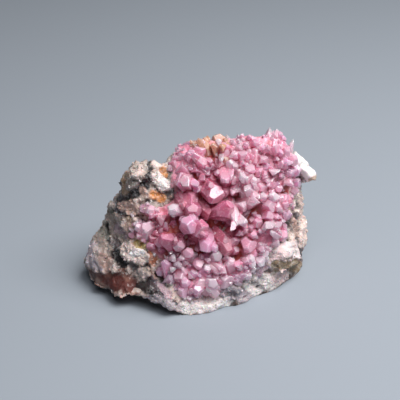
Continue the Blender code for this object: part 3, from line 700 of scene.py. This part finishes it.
def rock_colours(points, normals, tones):
    """The painted zones of the rock: overall mottling, then the stains, charted from the front."""
    mottle = wobble(points, 6 * MM, 1)
    light = wobble(points, 2.5 * MM, 2)
    colours = np.tile(np.array(tones.drab), (len(points), 1))
    for name, value, low, high in (
        ("cream", mottle, 0.0, 0.25), ("slate", -mottle, 0.15, 0.4), ("beige", light, 0.15, 0.4),
        ("umber", -light, 0.25, 0.5), ("black", -mottle - light, 0.55, 0.7),
    ):
        colours = blend(colours, getattr(tones, name), smoothstep(value, low, high) * 0.75)
    places = chart_places(points)
    fringe = light * 3.5 + wobble(points, 1.0 * MM, 3) * 2.5
    seen = smoothstep(normals @ np.array(EYEWARD), -0.15, 0.1)
    for x1, y1, x2, y2, reach, name, strength in STAINS:
        inside = reach - streak_distance(places, x1, y1, x2, y2) + fringe * min(reach / 9, 1)
        colours = blend(colours, getattr(tones, name), smoothstep(inside, -1, 1) * strength * seen)
    return colours


class SPECIMEN_OT_host_rock(bpy.types.Operator):
    """Build the broken host rock over its solid"""

    bl_idname = "specimen.host_rock"
    bl_label = "Host rock"

    def execute(self, context):
        sizes = settings("rock")
        rock = fine_rock("host_rock", sizes.grain, 4)
        points, normals = vertex_array(rock.data), vertex_array(rock.data, "normal")
        points = raise_foot(points, sizes.overhang)
        colours = rock_colours(points, normals, sizes)
        rough = 1 - 0.85 * smooth_share(points)
        set_vertices(rock.data, rock_relief(points, normals, colours, rough, sizes))
        paint(rock.data, "paint", colours, rough)
        rock.data.shade_smooth()
        dress(rock, rock_material())
        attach(rock, BODY)
        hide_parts("matrix_rock")
        return {"FINISHED"}


# ---- The crystals ----


class Growth:
    """Crystals that grow through each other, joined into one body at the end."""

    def __init__(self, name, sizes):
        self.forms = bpy.data.collections.new(name)
        self.edge = sizes.edge
        self.colours = {tone: np.array(getattr(sizes, tone)) for tone in (*TONES, "root", "frost")}

    def add(self, bm, place, tone, reach, rng):
        """Adds a crystal, deep at its root and paler towards its tip; its faces get frost and painted
        highlight.
        """
        body, root, frost = (self.colours[key] for key in (tone, "root", "frost"))
        clear_share, root_share = TONES[tone]
        layer = bm.loops.layers.float_color.new("tint")
        finish = CLEAR if rng.random() < clear_share else MILKY
        for face in bm.faces:
            face.material_index = finish
            # Each face's whitening: partly frosted calcite, partly a painted highlight of a face
            # catching the light.
            milk_and_sheen = rng.choice(END_MILK_AND_SHEEN if face.normal.z > 0.2 else SIDE_MILK_AND_SHEEN)
            for corner in face.loops:
                depth = -corner.vert.co.z / reach
                # Deeper colour towards the root: partly own colour, partly painted shade where the
                # crystals crowd.
                rooted = min(max((depth - 0.25) / 0.6, 0), 1) * root_share
                mixed = body + (root - body) * rooted
                corner[layer] = (*(mixed + (frost - mixed) * milk_and_sheen * (1 - 0.7 * rooted)), 1)
        # The bevel gets the whitened edge finish: a painted highlight along every crystal edge.
        bmesh.ops.bevel(
            bm, geom=bm.edges[:], offset=self.edge, segments=1, affect="EDGES", clamp_overlap=True,
            material=EDGE,
        )
        bm.transform(place)
        mesh = bpy.data.meshes.new("crystal")
        bm.to_mesh(mesh)
        bm.free()
        self.forms.objects.link(bpy.data.objects.new("crystal", mesh))

    def join(self, name):
        """One closed body of all the crystals, standing on the floor or above it."""
        count = len(self.forms.objects)
        piece = new_piece(name, self.forms.objects[0].data.copy())
        union = piece.modifiers.new("Join", "BOOLEAN")
        union.operation = "UNION"
        union.solver = "MANIFOLD"
        union.operand_type = "COLLECTION"
        union.collection = self.forms
        bake(piece)
        # A Boolean that fails leaves little but the first crystal.
        if len(piece.data.polygons) < 10 * count:
            raise RuntimeError(f"{name}: the crystals didn't join")
        for form in list(self.forms.objects):
            bpy.data.meshes.remove(form.data)
        bpy.data.collections.remove(self.forms)
        set_vertices(piece.data, vertex_array(piece.data))
        return piece


def direction(heading, slope):
    """The unit vector with this heading, at this angle from the Z axis."""
    across = math.sin(slope)
    return Vector((across * math.cos(heading), across * math.sin(heading), math.cos(slope)))


def trim(bm, point, normal):
    """Cuts a convex form by a plane and closes it again."""
    everything = bm.verts[:] + bm.edges[:] + bm.faces[:]
    cut = bmesh.ops.bisect_plane(bm, geom=everything, plane_co=point, plane_no=normal, clear_outer=True)
    edges = [e for e in cut["geom_cut"] if isinstance(e, bmesh.types.BMEdge)]
    if edges:
        bmesh.ops.holes_fill(bm, edges=edges, sides=0)


def crystal_form(width, reach, rng):
    """A calcite crystal up the Z axis, its tip at the origin: six uneven sides and three end faces."""
    bm = bmesh.new()
    block = Matrix.Translation((0, 0, -reach / 2)) @ Matrix.Diagonal((2 * width, 2 * width, reach, 1))
    bmesh.ops.create_cube(bm, size=1, matrix=block)
    flare = rng.uniform(0, 0.2) * min(width / reach, 0.7)
    narrow = rng.uniform(0.45, 1.0)
    for side in range(SIDES):
        heading = math.tau * side / SIDES + rng.uniform(-0.12, 0.12)
        out = width / 2 * rng.uniform(0.8, 1.0) * (narrow if side % 2 else 1)
        trim(bm, direction(heading, math.pi / 2) * out, direction(heading, math.pi / 2 - flare))
    slope = math.radians(rng.choice(END_SLOPES)) * rng.uniform(0.9, 1.1)
    for third in range(3):
        heading = math.tau * third / 3 + rng.uniform(-0.2, 0.2)
        drop = rng.choice((0, 0.05, 0.15, 0.3)) * width
        trim(bm, Vector((0, 0, -drop)), direction(heading, slope * rng.uniform(0.88, 1.12)))
    bmesh.ops.remove_doubles(bm, verts=bm.verts, dist=0.02 * width)
    bmesh.ops.recalc_face_normals(bm, faces=bm.faces)
    return bm


def standing(tip, axis, turn):
    """The placement of a crystal by its tip, its axis and its turn about it."""
    upright = axis.to_track_quat("Z", "Y").to_matrix().to_4x4()
    return Matrix.Translation(tip) @ upright @ Matrix.Rotation(turn, 4, "Z")


def grow(growth, tip, axis, width, reach, tone, rng):
    """One crystal, with smaller ones grown parallel to it where it is large."""
    turn = rng.uniform(0, math.tau)
    place = standing(tip, axis, turn)
    growth.add(crystal_form(width, reach, rng), place, tone, reach, rng)
    if width < PARENT_WIDTH:
        return
    for _ in range(rng.choice((0, 1, 1, 2))):
        offset = direction(rng.uniform(0, math.tau), math.pi / 2) * width * rng.uniform(0.3, 0.5)
        offset.z = -width * rng.uniform(0.2, 0.8)
        lean = Matrix.Rotation(rng.gauss(0, 0.2), 4, "X") @ Matrix.Rotation(rng.gauss(0, 0.2), 4, "Y")
        small = crystal_form(width * rng.uniform(0.45, 0.75), max(reach + offset.z, width), rng)
        growth.add(small, place @ Matrix.Translation(offset) @ lean, tone, reach, rng)


def find_root(tree, across, up):
    """Where a sight line meets or passes the rock, the rock point there, its normal, the way back."""
    eye = sight_point(0, 0, EYE_DISTANCE)
    line = (sight_point(across, up, 0) - eye).normalized()
    hit, normal = tree.ray_cast(eye, line)[:2]
    if hit:
        return hit, hit, normal, -line
    steps = [eye + line * (EYE_DISTANCE + offset * MM) for offset in range(-25, 20)]
    passing = min(steps, key=lambda point: tree.find_nearest(point)[3])
    near, normal = tree.find_nearest(passing)[:2]
    return passing, near, normal, -line


def grow_listed(growth, row, tree, widen, rng):
    """A listed crystal: towards the eye with its lean, or out from the rock where that ends."""
    across, up, width, rise, lean_across, lean_up, tone = row
    seen, rock_point, _, towards_eye = find_root(tree, across, up)
    if seen == rock_point:
        tip = seen + towards_eye * rise * MM
        lean = drift(seen / (5 * MM)) * 0.5 + CHART_AXES @ Vector((lean_across / 10, lean_up / 10, 0))
        lean *= min(1, MAX_LEAN / lean.length)
        axis = (towards_eye + lean).normalized()
        reach = rise * MM / max(axis.dot(towards_eye), 0.3)
    else:
        tip = seen
        axis = (tip - rock_point).normalized()
        reach = (tip - rock_point).length + 1.5 * MM
    grow(growth, tip, axis, width * widen * MM, reach + (0.6 + 0.4 * width) * MM, tone, rng)


def region_tones(across, up):
    """The tones that grow about a chart place."""
    return min(REGIONS, key=lambda row: math.hypot(across - row[0], up - row[1]) / row[2])[3]


def hollow_share(places):
    """How deep chart places lie in the hollows of the crust, from 0 to 1."""
    share = np.zeros(len(places))
    for across, up, reach in HOLLOWS:
        away = np.hypot(places[:, 0] - across, places[:, 1] - up)
        share = np.maximum(share, 1 - smoothstep(away, reach * 0.7, reach * 1.6))
    return share


def grow_fillers(growth, outline, rows, tree, tries, rng):
    """Smaller crystals in the places that the listed ones leave open."""
    taken = np.array([(across, up, 1.4 * width) for across, up, width, *_ in rows])
    low, high = np.min(outline, axis=0), np.max(outline, axis=0)
    for attempt in range(tries):
        across, up = rng.uniform(low[0], high[0]), rng.uniform(low[1], high[1])
        width = rng.uniform(*(LARGE_FILLERS if attempt < tries / 3 else SMALL_FILLERS))
        apart = np.hypot(taken[:, 0] - across, taken[:, 1] - up) * CHART_STEP / MM
        spot = np.array(((across, up, 0.0),))
        hollow = hollow_share(spot)[0]
        if np.min(apart / (width + taken[:, 2])) < FILLER_GAP + HOLLOW_GAP * hollow:
            continue
        within = edge_distance(spot, outline)[0]
        if within < 1:
            continue
        taken = np.vstack((taken, (across, up, width)))
        seen, _, normal, _ = find_root(tree, across, up)
        axis = normal + EYEWARD * 0.2 + drift(seen / (7 * MM)) * 1.1 + jitter(0.2, rng)
        axis.normalize()
        rise = (1.6 + 0.7 * width + rng.uniform(-0.5, 0.9)) * (1 - 0.5 * hollow)
        rise *= min(0.3 + within / 18, 1) * MM
        tone = rng.choice(region_tones(across, up))
        grow(growth, seen + axis * rise, axis, width * MM, rise + width * MM, tone, rng)


def sow(growth, bed, count, rng):
    """Tiny crystals all over a bed."""
    faces = [face for face in bed.data.polygons if face.area > 0]
    weights = [face.area for face in faces]
    for face in rng.choices(faces, weights, k=count):
        width = rng.uniform(0.7, 1.7) * MM
        axis = (face.normal + jitter(0.4, rng)).normalized()
        place = chart_places(np.array((face.center,)))[0]
        tone = rng.choice(region_tones(*place[:2]))
        rise = width * rng.uniform(0.6, 1.3)
        grow(growth, face.center + axis * rise, axis, width, rise + width, tone, rng)


def bed_lift(points, normals, inside, fringe):
    """How far the bed stands out at points of the rock, from 0 off the bed to 1."""
    behind = points[:, 1] - (BED_BACK + fringe * 1.5 * MM)
    lift = smoothstep(inside, -3, 18) * smoothstep(-behind, -1.0 * MM, 1.2 * MM)
    facing = normals @ np.array(EYEWARD)
    lift[(facing < -0.2) & (points[:, 1] < 4 * MM)] = 0
    return lift


def bed_tints(places, lift, hollow, fringe, sizes):
    """Colours of the bed: its region's, deeper in patches, red in the hollows, pale at the border."""
    tints = np.array([getattr(sizes, region_tones(*place[:2])[0]) for place in places])
    tints = blend(tints, sizes.root, 0.1 + 0.5 * smoothstep(fringe, -0.4, 0.3))
    # The hollows' dark red is partly iron stain, partly painted shade.
    tints = blend(tints, sizes.gap, hollow)
    return blend(tints, sizes.pale, (1 - smoothstep(lift, 0.1, 0.7)) * 0.7)


def make_bed(name, outline, sizes):
    """The crust between the crystals: the rock's own surface, lifted inside an outline."""
    bed = fine_rock(name, BED_CELL, 5)
    points, normals = vertex_array(bed.data), vertex_array(bed.data, "normal")
    places = chart_places(points)
    fringe = wobble(points, 2 * MM, 4)
    lift = bed_lift(points, normals, edge_distance(places, outline) + fringe * 4, fringe)
    hollow = hollow_share(places)
    facets = np.array([chips(Vector(p), 2.4 * MM) + 0.5 * chips(Vector(p), 1.1 * MM) for p in points])
    height = lift * (sizes.bed * (1 - 0.8 * hollow) + facets * FACET_HEIGHT)
    height -= BORDER_DEPTH * (1 - smoothstep(lift, 0, 0.35))
    set_vertices(bed.data, points + normals * height[:, None])
    paint(bed.data, "tint", bed_tints(places, lift, hollow, fringe, sizes))
    bm = bmesh.new()
    bm.from_mesh(bed.data)
    bm.verts.ensure_lookup_table()
    bmesh.ops.delete(bm, geom=[v for v in bm.verts if lift[v.index] <= 0], context="VERTS")
    bm.to_mesh(bed.data)
    bm.free()
    bed.data.shade_smooth()
    dress(bed, bed_material())
    return bed


def rock_tree():
    """The rock's solid, ready for the search of its nearest points."""
    rock = frame["nodes"]["matrix_rock"].data
    corners = [vertex.co for vertex in rock.vertices]
    return BVHTree.FromPolygons(corners, [face.vertices for face in rock.polygons])


def grow_patch(name, outline, rows, node, tries, grains, seed):
    """A bed with its listed crystals, fillers and grains, over a node."""
    sizes = settings("druse")
    rng = random.Random(seed)
    tree = rock_tree()
    bed = make_bed(name + "_bed", outline, sizes)
    growth = Growth(name, sizes)
    for index, row in enumerate(rows):
        grow_listed(growth, row, tree, sizes.widen, random.Random(100 * seed + index))
    grow_fillers(growth, outline, rows, tree, tries, rng)
    sow(growth, bed, grains, rng)
    crystals = growth.join(name + "_crystals")
    dress(crystals, *(crystal_material(*finish) for finish in FINISHES))
    for piece in (bed, crystals):
        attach(piece, BODY)
        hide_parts(node)


class SPECIMEN_OT_crystal_crust(bpy.types.Operator):
    """Grow the pink crystals over the display face"""

    bl_idname = "specimen.crystal_crust"
    bl_label = "Crystal crust"

    def execute(self, context):
        sizes = settings("druse")
        grow_patch(
            "crust", CRUST_OUTLINE, CRYSTALS, "crystal_crust", sizes.fillers, sizes.grains, CRUST_SEED,
        )
        return {"FINISHED"}


class SPECIMEN_OT_left_cluster(bpy.types.Operator):
    """Grow the small island of crystals beside the crust"""

    bl_idname = "specimen.left_cluster"
    bl_label = "Left cluster"

    def execute(self, context):
        sizes = settings("druse")
        tries, grains = sizes.fillers // CLUSTER_FILLERS, sizes.grains // CLUSTER_GRAINS
        grow_patch(
            "cluster", CLUSTER_OUTLINE, CLUSTER_CRYSTALS, "left_cluster", tries, grains, CLUSTER_SEED,
        )
        return {"FINISHED"}


# ---- The grains on the rock ----


def rhomb_form(width, height):
    """A rhombohedron of calcite: a cube standing on its corner, with its own height."""
    corners = [Vector((0, 0, height / 2)), Vector((0, 0, -height / 2))]
    for turn in range(6):
        corner = direction(math.tau * turn / 6, math.pi / 2) * width / 2
        corner.z = height / 6 if turn % 2 == 0 else -height / 6
        corners.append(corner)
    faces = []
    for turn in (0, 2, 4):
        faces.append((0, 2 + turn, 3 + turn, 2 + (turn + 2) % 6))
        faces.append((1, 2 + (turn + 3) % 6, 2 + (turn + 2) % 6, 3 + turn))
    return corners, faces


def grain_material():
    """Small crystals on the rock: glossy, slightly clear, in the colour of what they stand on."""
    tree = ShaderTree("rock_grains", {
        "IOR": 1.6, "Transmission Weight": 0.1, "Subsurface Weight": 0.2,
        "Subsurface Scale": 0.3 * MM,
    })
    tone = tree.mix(tree.noise(0.3 * MM, 3) * 0.12, tree.attribute("tint"), srgb(240, 232, 230))
    gloss = tree.step(tree.noise(0.8 * MM), 0.4, 0.6, 0.12, 0.5)
    return tree.finish(tone, gloss)


def painted_colour(mesh, face):
    return mesh.attributes["paint"].data[face.vertices[0]].color[:3]


def grain_spots(mesh, count, rng):
    """Faces of the rock that grains stand on, drawn more often where it is bare, pale and rough."""
    ground = [face for face in mesh.polygons if face.center.z > 0.6 * MM]
    centres = np.array([face.center for face in ground])
    bare = edge_distance(chart_places(centres), CRUST_OUTLINE) < 3
    light = np.array([painted_colour(mesh, face) for face in ground]) @ LIGHTNESS
    sugary = smoothstep(light, 0.1, 0.6) * (1 - smooth_share(centres)) * bare
    weights = [face.area * share for face, share in zip(ground, sugary)]
    return rng.choices(ground, weights, k=count)


class SPECIMEN_OT_rock_grains(bpy.types.Operator):
    """Dust the rock with small crystals"""

    bl_idname = "specimen.rock_grains"
    bl_label = "Rock grains"

    def execute(self, context):
        sizes = settings("rock")
        rng = random.Random(GRAIN_SEED)
        rock = bpy.data.objects["host_rock"].data
        points, faces, tints = [], [], []
        for face in grain_spots(rock, sizes.grains, rng):
            width = rng.uniform(0.4, 1.0) * MM
            tone = np.array(painted_colour(rock, face)) * rng.uniform(0.85, 1.2)
            pale = rng.random() ** 5
            tone = np.clip(tone + (np.array(sizes.white) - tone) * pale * 0.6, 0, 1)
            axis = (face.normal + jitter(0.6, rng)).normalized()
            root = face.center - face.normal * width * rng.uniform(0.1, 0.4)
            place = standing(root, axis, rng.uniform(0, math.tau))
            corners, sides = rhomb_form(width, width * rng.uniform(0.9, 1.7))
            faces.extend([len(points) + corner for corner in side] for side in sides)
            tints.extend([tone] * sum(len(side) for side in sides))
            for corner in corners:
                x, y, z = place @ corner
                points.append((x, y, max(z, 0)))
        dust = bpy.data.meshes.new("rock_grains")
        dust.from_pydata(points, [], faces)
        paint(dust, "tint", tints, domain="CORNER")
        grains = new_piece("rock_grains", dust)
        dress(grains, grain_material())
        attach(grains, BODY)
        return {"FINISHED"}


# ---- The stage ----


def floor_material(base):
    tree = ShaderTree("floor", {})
    haze = tree.noise(0.4, 2)
    return tree.finish(tree.mix(haze * 0.04, (*base, 1), srgb(200, 206, 212)), 0.9)


def area_light(name, power, place, size, tint):
    data = bpy.data.lights.new(name, "AREA")
    data.shape = "DISK"
    data.size = size
    data.energy = power
    data.color = tint
    lamp = new_piece(name, data)
    lamp.location = place
    lamp.rotation_euler = (Vector(place) - Vector(LIGHT_TARGET)).to_track_quat("Z", "Y").to_euler()


class SPECIMEN_OT_stage(bpy.types.Operator):
    """Lay the floor and set up the lights and the camera"""

    bl_idname = "specimen.stage"
    bl_label = "Stage"

    def execute(self, context):
        sizes = settings("stage")
        bm = bmesh.new()
        bmesh.ops.create_grid(bm, x_segments=2, y_segments=2, size=sizes.floor_size / 2)
        mesh = bpy.data.meshes.new("floor")
        bm.to_mesh(mesh)
        bm.free()
        floor = new_piece("floor", mesh)
        dress(floor, floor_material(sizes.floor_colour))

        area_light("key", sizes.key, *KEY_LIGHT)
        area_light("fill", sizes.fill, *FILL_LIGHT)

        world = bpy.data.worlds.new("studio")
        world.use_nodes = True
        sky = world.node_tree.nodes["Background"]
        sky.inputs["Color"].default_value = (*srgb(214, 222, 232), 1)
        sky.inputs["Strength"].default_value = sizes.sky
        context.scene.world = world

        camera = new_piece("camera", bpy.data.cameras.new("camera"))
        camera.data.lens = sizes.lens
        camera.data.clip_start = 0.01
        camera.matrix_world = Matrix.Translation(sight_point(0, 0, EYE_DISTANCE)) @ CHART_AXES.to_4x4()
        context.scene.camera = camera
        context.scene.view_settings.view_transform = "Standard"
        return {"FINISHED"}


class SPECIMEN_PT_panel(bpy.types.Panel):
    """Settings and steps of the specimen"""

    bl_label = "Specimen"
    bl_idname = "SPECIMEN_PT_panel"
    bl_space_type = "VIEW_3D"
    bl_region_type = "UI"
    bl_category = "Specimen"

    def draw(self, context):
        for group, kind in SETTINGS.items():
            box = self.layout.box()
            box.label(text=kind.__doc__)
            for name in kind.__annotations__:
                box.prop(settings(group), name)
        for step in STEPS:
            self.layout.operator(step.bl_idname)


STEPS = (
    SPECIMEN_OT_host_rock, SPECIMEN_OT_rock_grains, SPECIMEN_OT_crystal_crust,
    SPECIMEN_OT_left_cluster, SPECIMEN_OT_stage,
)


def register():
    for group, kind in SETTINGS.items():
        bpy.utils.register_class(kind)
        setattr(bpy.types.Scene, "specimen_" + group, PointerProperty(type=kind))
    for kind in (*STEPS, SPECIMEN_PT_panel):
        bpy.utils.register_class(kind)


def unregister():
    for kind in (SPECIMEN_PT_panel, *STEPS):
        bpy.utils.unregister_class(kind)
    for group, kind in SETTINGS.items():
        delattr(bpy.types.Scene, "specimen_" + group)
        bpy.utils.unregister_class(kind)


def main():
    register()
    for step in STEPS:
        group, name = step.bl_idname.split(".")
        getattr(getattr(bpy.ops, group), name)()


if __name__ == "__main__":
    main()
